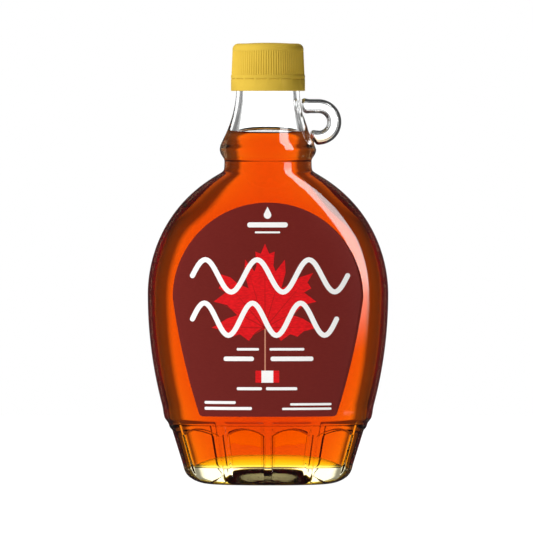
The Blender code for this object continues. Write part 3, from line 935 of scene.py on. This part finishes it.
def wave(x0, x1, y):
    """A ribbon of even width that runs up and down, with round ends."""
    left, middle = photo_mm(x0, y)
    right, _ = photo_mm(x1, y)
    length = right - left
    upper = []
    lower = []
    for share in np.linspace(0, 1, WAVE_STEPS * WAVE_COUNT + 1):
        phase = 2 * math.pi * WAVE_COUNT * share
        x = left + length * share
        z = middle + WAVE_HEIGHT * math.sin(phase)
        slope = WAVE_HEIGHT * 2 * math.pi * WAVE_COUNT / length * math.cos(phase)
        size = math.hypot(1, slope)
        upper.append((x - slope / size * WAVE_THICK / 2, z + WAVE_THICK / 2 / size))
        lower.append((x + slope / size * WAVE_THICK / 2, z - WAVE_THICK / 2 / size))
    start = round_end(upper[0], lower[0])
    end = round_end(lower[-1], upper[-1])
    return lower + end + upper[::-1] + start


def round_end(a, b):
    """Points of the half circle from a to b, on the right of the way from a to b."""
    cx, cz = (a[0] + b[0]) / 2, (a[1] + b[1]) / 2
    radius = math.dist(a, b) / 2
    first = math.atan2(a[1] - cz, a[0] - cx)
    turns = [first + math.pi * share for share in np.linspace(0, 1, 9)[1:-1]]
    return [(cx + radius * math.cos(turn), cz + radius * math.sin(turn)) for turn in turns]


def leaf_place():
    """Middle and foot of the leaf on the label, and its height."""
    middle, high = photo_mm(LEAF_X, LEAF_TOP_Y)
    _, low = photo_mm(LEAF_X, LEAF_BASE_Y)
    return middle, low, high - low


def leaf():
    """A toothed leaf of the common kind."""
    cx, low, size = leaf_place()
    right = [(cx + size * across, low + size * up) for across, up in LEAF_HALF]
    left = [(2 * cx - across, up) for across, up in right[:0:-1]]
    loop = right + left
    return loop[::-1]


def leaf_veins():
    """Thin spikes from the leaf's base towards the tips of its lobes."""
    cx, low, size = leaf_place()
    spikes = []
    for across, up in LEAF_VEIN_TIPS:
        for side in (1, -1) if across else (1,):
            tip = (cx + side * across * size, low + up * size)
            away = math.hypot(tip[0] - cx, tip[1] - low)
            out = (VEIN_HALF * (tip[1] - low) / away, -VEIN_HALF * (tip[0] - cx) / away)
            spikes.append([(cx + out[0], low + out[1]), tip, (cx - out[0], low - out[1])])
    return spikes


def drop():
    """A drop: a round belly with two straight flanks that meet at the top."""
    cx, high = photo_mm(DROP_X, DROP_TOP_Y)
    _, low = photo_mm(DROP_X, DROP_LOW_Y)
    radius = (high - low) * DROP_BELLY_SHARE
    loop = [(cx, high)]
    for degrees in np.linspace(150, 390, 31):
        angle = math.radians(degrees)
        loop.append((cx + radius * math.cos(angle), low + radius + radius * math.sin(angle)))
    return loop


# Materials


class Nodes:
    """A small helper that builds one material's nodes."""

    def __init__(self, name):
        self.material = bpy.data.materials.new(name)
        self.material.use_nodes = True
        self.tree = self.material.node_tree
        self.shader = self.tree.nodes["Principled BSDF"]
        self.out = self.tree.nodes["Material Output"]

    def add(self, kind, **values):
        node = self.tree.nodes.new(kind)
        for key, value in values.items():
            if key in node.inputs:
                node.inputs[key].default_value = value
            else:
                setattr(node, key, value)
        return node

    def link(self, a, b):
        self.tree.links.new(a, b)

    def noise(self, scale, detail=3.0, stretch=(1, 1, 1)):
        place = self.add("ShaderNodeTexCoord")
        mapping = self.add("ShaderNodeMapping")
        mapping.inputs["Scale"].default_value = stretch
        noise = self.add("ShaderNodeTexNoise", Scale=scale, Detail=detail)
        self.link(place.outputs["Object"], mapping.inputs["Vector"])
        self.link(mapping.outputs["Vector"], noise.inputs["Vector"])
        return noise.outputs["Fac"]

    def ramp(self, factor, low, high):
        ramp = self.add("ShaderNodeValToRGB")
        ramp.color_ramp.elements[0].position = RAMP_START
        ramp.color_ramp.elements[0].color = (*low, 1)
        ramp.color_ramp.elements[1].position = RAMP_END
        ramp.color_ramp.elements[1].color = (*high, 1)
        self.link(factor, ramp.inputs["Fac"])
        return ramp.outputs["Color"]

    def spread(self, factor, low, high):
        spread = self.add("ShaderNodeMapRange")
        spread.inputs["To Min"].default_value = low
        spread.inputs["To Max"].default_value = high
        self.link(factor, spread.inputs["Value"])
        return spread.outputs["Result"]

    def by_height(self, stops):
        """A colour that runs through these stops, each a height and a colour."""
        place = self.add("ShaderNodeTexCoord")
        apart = self.add("ShaderNodeSeparateXYZ")
        share = self.add("ShaderNodeMapRange")
        share.inputs["From Max"].default_value = TINT_SPAN * MM
        self.link(place.outputs["Object"], apart.inputs["Vector"])
        self.link(apart.outputs["Z"], share.inputs["Value"])
        ramp = self.add("ShaderNodeValToRGB")
        ramp.color_ramp.elements.remove(ramp.color_ramp.elements[1])
        for index, (z, colour) in enumerate(stops):
            stop = ramp.color_ramp.elements.new(z / TINT_SPAN) if index else ramp.color_ramp.elements[0]
            stop.position = z / TINT_SPAN
            stop.color = (*colour, 1)
        self.link(share.outputs["Result"], ramp.inputs["Fac"])
        return ramp.outputs["Color"]

    def times(self, a, b):
        """The product of two colours."""
        product = self.add("ShaderNodeVectorMath", operation="MULTIPLY")
        self.link(a, product.inputs[0])
        self.link(b, product.inputs[1])
        return product.outputs["Vector"]

    def bump(self, height, strength, distance):
        bump = self.add("ShaderNodeBump", Strength=strength, Distance=distance)
        self.link(height, bump.inputs["Height"])
        self.link(bump.outputs["Normal"], self.shader.inputs["Normal"])

    def set(self, **values):
        for key, value in values.items():
            self.shader.inputs[key.replace("_", " ")].default_value = value

    def clear_body(self, ior, mirror):
        """Sets the shader to clear matter. A mirror of 0 takes its reflections away."""
        tint = (mirror, mirror, mirror, 1.0)
        self.set(Roughness=0.0, IOR=ior, Transmission_Weight=1.0, Specular_Tint=tint)

    def colour(self, factor, ends):
        self.link(self.ramp(factor, *ends), self.shader.inputs["Base Color"])

    def roughness(self, factor, low, high):
        self.link(self.spread(factor, low, high), self.shader.inputs["Roughness"])


def glass_material(name, mirror, filled_tint):
    """Clear glass with painted light at its base, yellow as if lit up through the thin syrup, and the
    given tint along the filled height.
    """
    made = Nodes(name)
    made.clear_body(GLASS_IOR, mirror)
    clear = made.ramp(made.noise(30), *CLEAR_GLASS)
    # Painted yellow light at the base, then the filled tint, which fades out at the fill line
    stops = (
        (BASE_PAINTED_LIGHT_Z, BASE_PAINTED_LIGHT),
        (BASE_PAINTED_LIGHT_END_Z, filled_tint),
        (FILL_Z - TINT_FADE, filled_tint),
        (FILL_Z, NO_TINT),
    )
    made.link(made.times(clear, made.by_height(stops)), made.shader.inputs["Base Color"])
    made.bump(made.noise(55, 1.0), 0.25, 0.00035)
    return made.material


def syrup_material(name, mirror):
    made = Nodes(name)
    made.clear_body(SYRUP_IOR, mirror)
    made.colour(made.noise(25), SYRUP)
    volume = made.add("ShaderNodeVolumeAbsorption", Color=SYRUP_VOLUME, Density=SYRUP_DENSITY)
    made.link(volume.outputs["Volume"], made.out.inputs["Volume"])
    return made.material


def cap_material():
    made = Nodes("cap_plastic_look")
    made.colour(made.noise(90), CAP_YELLOW)
    made.roughness(made.noise(400), 0.34, 0.46)
    made.bump(made.noise(1500, 4.0), 0.12, 0.0001)
    made.set(Specular_IOR_Level=0.12)
    return made.material


def paper_material(name, ends, roughness):
    """Matt paper or print with a fine grain."""
    made = Nodes(name)
    made.colour(made.noise(700, 5.0, (1, 1, 3)), ends)
    made.roughness(made.noise(900), roughness - 0.05, roughness + 0.05)
    made.set(Specular_IOR_Level=0.15)
    made.bump(made.noise(1400, 4.0, (1, 1, 2)), 0.1, 0.0001)
    return made.material


def ground_material():
    """Pale ground: mostly its own soft light, so that it runs into the white background."""
    made = Nodes("pale_floor_look")
    made.set(Roughness=0.9)
    made.colour(made.noise(3), PALE_GROUND)
    glow = made.add("ShaderNodeEmission", Color=(1, 1, 1, 1), Strength=GROUND_GLOW)
    join = made.add("ShaderNodeMixShader", Fac=GROUND_GLOW_SHARE)
    made.link(made.shader.outputs["BSDF"], join.inputs[1])
    made.link(glow.outputs["Emission"], join.inputs[2])
    made.link(join.outputs["Shader"], made.out.inputs["Surface"])
    return made.material


# Studio


def camera():
    data = bpy.data.cameras.new("view")
    data.sensor_width = SENSOR
    data.lens = SENSOR * CAMERA_AWAY / FRAME_WIDTH
    obj = bpy.data.objects.new("view", data)
    rise = math.radians(CAMERA_RISE)
    obj.location = (AIM[0], AIM[1] - CAMERA_AWAY * math.cos(rise), AIM[2] + CAMERA_AWAY * math.sin(rise))
    obj.rotation_euler = (math.pi / 2 - rise, 0.0, 0.0)
    bpy.context.scene.collection.objects.link(obj)
    bpy.context.scene.camera = obj


def key_light():
    """A square area light that faces the bottle. The camera, glass and mirrors don't show it."""
    data = bpy.data.lights.new("left_key", "AREA")
    data.shape = "RECTANGLE"
    data.size = KEY_SIDE
    data.size_y = KEY_SIDE
    data.energy = KEY_RADIANCE * math.pi * KEY_SIDE * KEY_SIDE
    obj = bpy.data.objects.new("left_key", data)
    turn = math.radians(KEY_AZIMUTH)
    rise = math.radians(KEY_ELEVATION)
    obj.location = (
        KEY_AWAY * math.sin(turn) * math.cos(rise),
        -KEY_AWAY * math.cos(turn) * math.cos(rise),
        AIM[2] + KEY_AWAY * math.sin(rise),
    )
    obj.rotation_euler = (math.pi / 2 - rise, 0.0, turn)
    obj.visible_camera = False
    obj.visible_transmission = False
    obj.visible_glossy = False
    bpy.context.scene.collection.objects.link(obj)


def world():
    """White for the camera.

    Through glass there is a bright window behind the bottle with a dim skirt round it, light from
    below and from the far sides, and a dimmer front half. Mirrors show one strip at the right.
    Matt surfaces are lit from the left.
    """
    made = bpy.data.worlds.new("studio")
    bpy.context.scene.world = made
    made.use_nodes = True
    # Otherwise the mirrored strip would also light the cap and the label
    made.cycles.sampling_method = "NONE"
    tree = made.node_tree
    tree.nodes.clear()

    def add(kind, *values, **settings):
        node = tree.nodes.new(kind)
        for key, value in settings.items():
            setattr(node, key, value)
        for index, value in enumerate(values):
            if hasattr(value, "links"):
                tree.links.new(value, node.inputs[index])
            elif value is not None:
                node.inputs[index].default_value = value
        return node.outputs[0]

    def total(*values):
        result = values[0]
        for value in values[1:]:
            result = add("ShaderNodeMath", result, value, operation="ADD")
        return result

    def product(*values):
        result = values[0]
        for value in values[1:]:
            result = add("ShaderNodeMath", result, value, operation="MULTIPLY")
        return result

    def absolute(value):
        return add("ShaderNodeMath", value, operation="ABSOLUTE")

    def fade(value, over, start, end):
        return add("ShaderNodeMapRange", value, *over, start, end)

    def soft_fade(value, over, start, end):
        return add("ShaderNodeMapRange", value, *over, start, end, interpolation_type="SMOOTHSTEP")

    def along(direction):
        node = tree.nodes.new("ShaderNodeVectorMath")
        node.operation = "DOT_PRODUCT"
        tree.links.new(place.outputs["Generated"], node.inputs[0])
        node.inputs[1].default_value = direction
        return node.outputs["Value"]

    place = tree.nodes.new("ShaderNodeTexCoord")
    apart = tree.nodes.new("ShaderNodeSeparateXYZ")
    tree.links.new(place.outputs["Generated"], apart.inputs[0])
    to_right, to_back, to_top = apart.outputs

    across = product(to_right, 1 / WINDOW_HALF_WIDTH)
    up = product(to_top, 1 / WINDOW_HALF_HEIGHT)
    off_middle = total(product(across, across), product(up, up))
    window = soft_fade(off_middle, WINDOW_FADE, WINDOW_GLOW - SKIRT_GLOW, 0.0)
    skirt = fade(off_middle, SKIRT_FADE, SKIRT_GLOW, 0.0)
    front_half = fade(to_back, FRONT_FADE, FRONT_SHARE, 1.0)
    below = soft_fade(to_top, BELOW_FADE, BELOW_GLOW, 0.0)
    beside = soft_fade(absolute(to_right), BESIDE_FADE, 0.0, BESIDE_GLOW)
    through_glass = total(product(total(window, skirt), front_half), DIM_GLOW, below, beside)

    turn = math.radians(STRIP_AZIMUTH)
    off_strip = absolute(along((math.cos(turn), math.sin(turn), 0.0)))
    edge = [share * STRIP_HALF_WIDTH for share in STRIP_EDGE_SHARES]
    strip = product(
        fade(off_strip, edge, STRIP_GLOW, 0.0),
        fade(along((math.sin(turn), -math.cos(turn), 0.0)), STRIP_FRONT_FADE, 0.0, 1.0),
        soft_fade(to_top, STRIP_LOW_FADE, 0.0, 1.0),
        fade(to_top, STRIP_HIGH_FADE, 1.0, 0.0),
    )
    mirrored = total(strip, MIRRORED_GLOW)
    lighting = fade(to_right, LIGHT_FADE, LIGHT_GLOW, 0.0)

    path = tree.nodes.new("ShaderNodeLightPath")
    strength = add("ShaderNodeMix", path.outputs["Is Diffuse Ray"], None, mirrored, lighting)
    strength = add("ShaderNodeMix", path.outputs["Is Transmission Ray"], None, strength, through_glass)
    strength = add("ShaderNodeMix", path.outputs["Is Camera Ray"], None, strength, 1.0)
    back = tree.nodes.new("ShaderNodeBackground")
    back.inputs["Color"].default_value = (1, 1, 1, 1)
    tree.links.new(strength, back.inputs["Strength"])
    out = tree.nodes.new("ShaderNodeOutputWorld")
    tree.links.new(back.outputs[0], out.inputs[0])


def ground():
    """A pale disc under the bottle, which mirrors and glass don't show."""
    mesh = bpy.data.meshes.new("pale_floor")
    turns = even_turns(GROUND_SIDES)
    points = [(0.0, 0.0, GROUND_Z)]
    points += [(GROUND_RADIUS * math.cos(a), GROUND_RADIUS * math.sin(a), GROUND_Z) for a in turns]
    faces = [(0, 1 + i, 1 + (i + 1) % GROUND_SIDES) for i in range(GROUND_SIDES)]
    mesh.from_pydata(points, [], faces)
    obj = bpy.data.objects.new("pale_floor", mesh)
    bpy.context.scene.collection.objects.link(obj)
    obj.data.materials.append(ground_material())
    obj.visible_glossy = False
    obj.visible_transmission = False


def dress(obj, material, slot, *nodes):
    """Gives a piece its material and its part of the frame, and hides the CAD nodes that it replaces."""
    obj.data.materials.clear()
    obj.data.materials.append(material)
    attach(obj, "root")
    if nodes:
        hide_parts(*nodes)


def filled_flask():
    glass = flask_glass()
    clear = glass_material("clear_glass_look", 1.0, FILLED_TINT)
    dress(glass, clear, "clear_glass", "glass_bottle")
    glass.data.materials.append(glass_material("wetted_glass_look", 0.0, NO_TINT))
    mark_wetted(glass)
    fill = syrup_fill()
    dress(fill, syrup_material("syrup_look", 0.0), "syrup", "maple_syrup")
    fill.data.materials.append(syrup_material("syrup_surface_look", 1.0))
    mark_surface(fill)


def label():
    sheet, backs = front_sheet("label_sheet", LABEL_LIFT, LABEL_LIFT + LABEL_THICK)
    front = paper_material("label_maroon_look", MAROON, 0.5)
    dress(sheet, front, "label_paper", "front_label")
    sheet.data.materials.append(paper_material("label_back_look", PAPER_BACK, 0.8))
    for polygon in sheet.data.polygons[:backs]:
        polygon.material_index = 1


def label_print():
    cream = paper_material("print_cream_look", CREAM, PRINT_ROUGHNESS)
    dark_red = paper_material("print_dark_red_look", DARK_RED, PRINT_ROUGHNESS)
    tan = paper_material("print_tan_look", TAN, PRINT_ROUGHNESS)
    red = paper_material("print_red_look", RED, PRINT_ROUGHNESS)
    waves = [
        wave(WAVE_LEFT_X, UPPER_WAVE_RIGHT_X, UPPER_WAVE_Y),
        wave(WAVE_LEFT_X, LOWER_WAVE_RIGHT_X, LOWER_WAVE_Y),
    ]
    stripes = [bar(*EMBLEM_LEFT_STRIPE, STRIPE_CORNER), bar(*EMBLEM_RIGHT_STRIPE, STRIPE_CORNER)]
    for name, loops, proud, ink in (
        ("print_leaf", [leaf()], LEAF_PROUD, red),
        ("print_veins", leaf_veins(), VEIN_PROUD, dark_red),
        ("print_stem", [bar(*STEM, STEM_CORNER)], VEIN_PROUD, tan),
        ("print_waves", waves, CREAM_PROUD, cream),
        ("print_bars", [drop()] + [bar(*sides) for sides in BARS], CREAM_PROUD, cream),
        ("print_emblem_field", [bar(*EMBLEM_FIELD, FIELD_CORNER)], CREAM_PROUD, cream),
        ("print_emblem_sides", stripes, STRIPE_PROUD, red),
    ):
        dress(printed(name, loops, proud), ink, "label_paper")


def main():
    scene = bpy.context.scene
    scene.view_settings.view_transform = "Standard"
    camera()
    filled_flask()
    dress(cap_shell(), cap_material(), "cap_plastic", "screw_cap")
    label()
    label_print()
    ground()
    key_light()
    world()
    if hasattr(scene, "cycles"):
        scene.cycles.max_bounces = CLEAR_BOUNCES
        scene.cycles.transmission_bounces = CLEAR_BOUNCES
        scene.cycles.glossy_bounces = GLOSSY_BOUNCES


main()
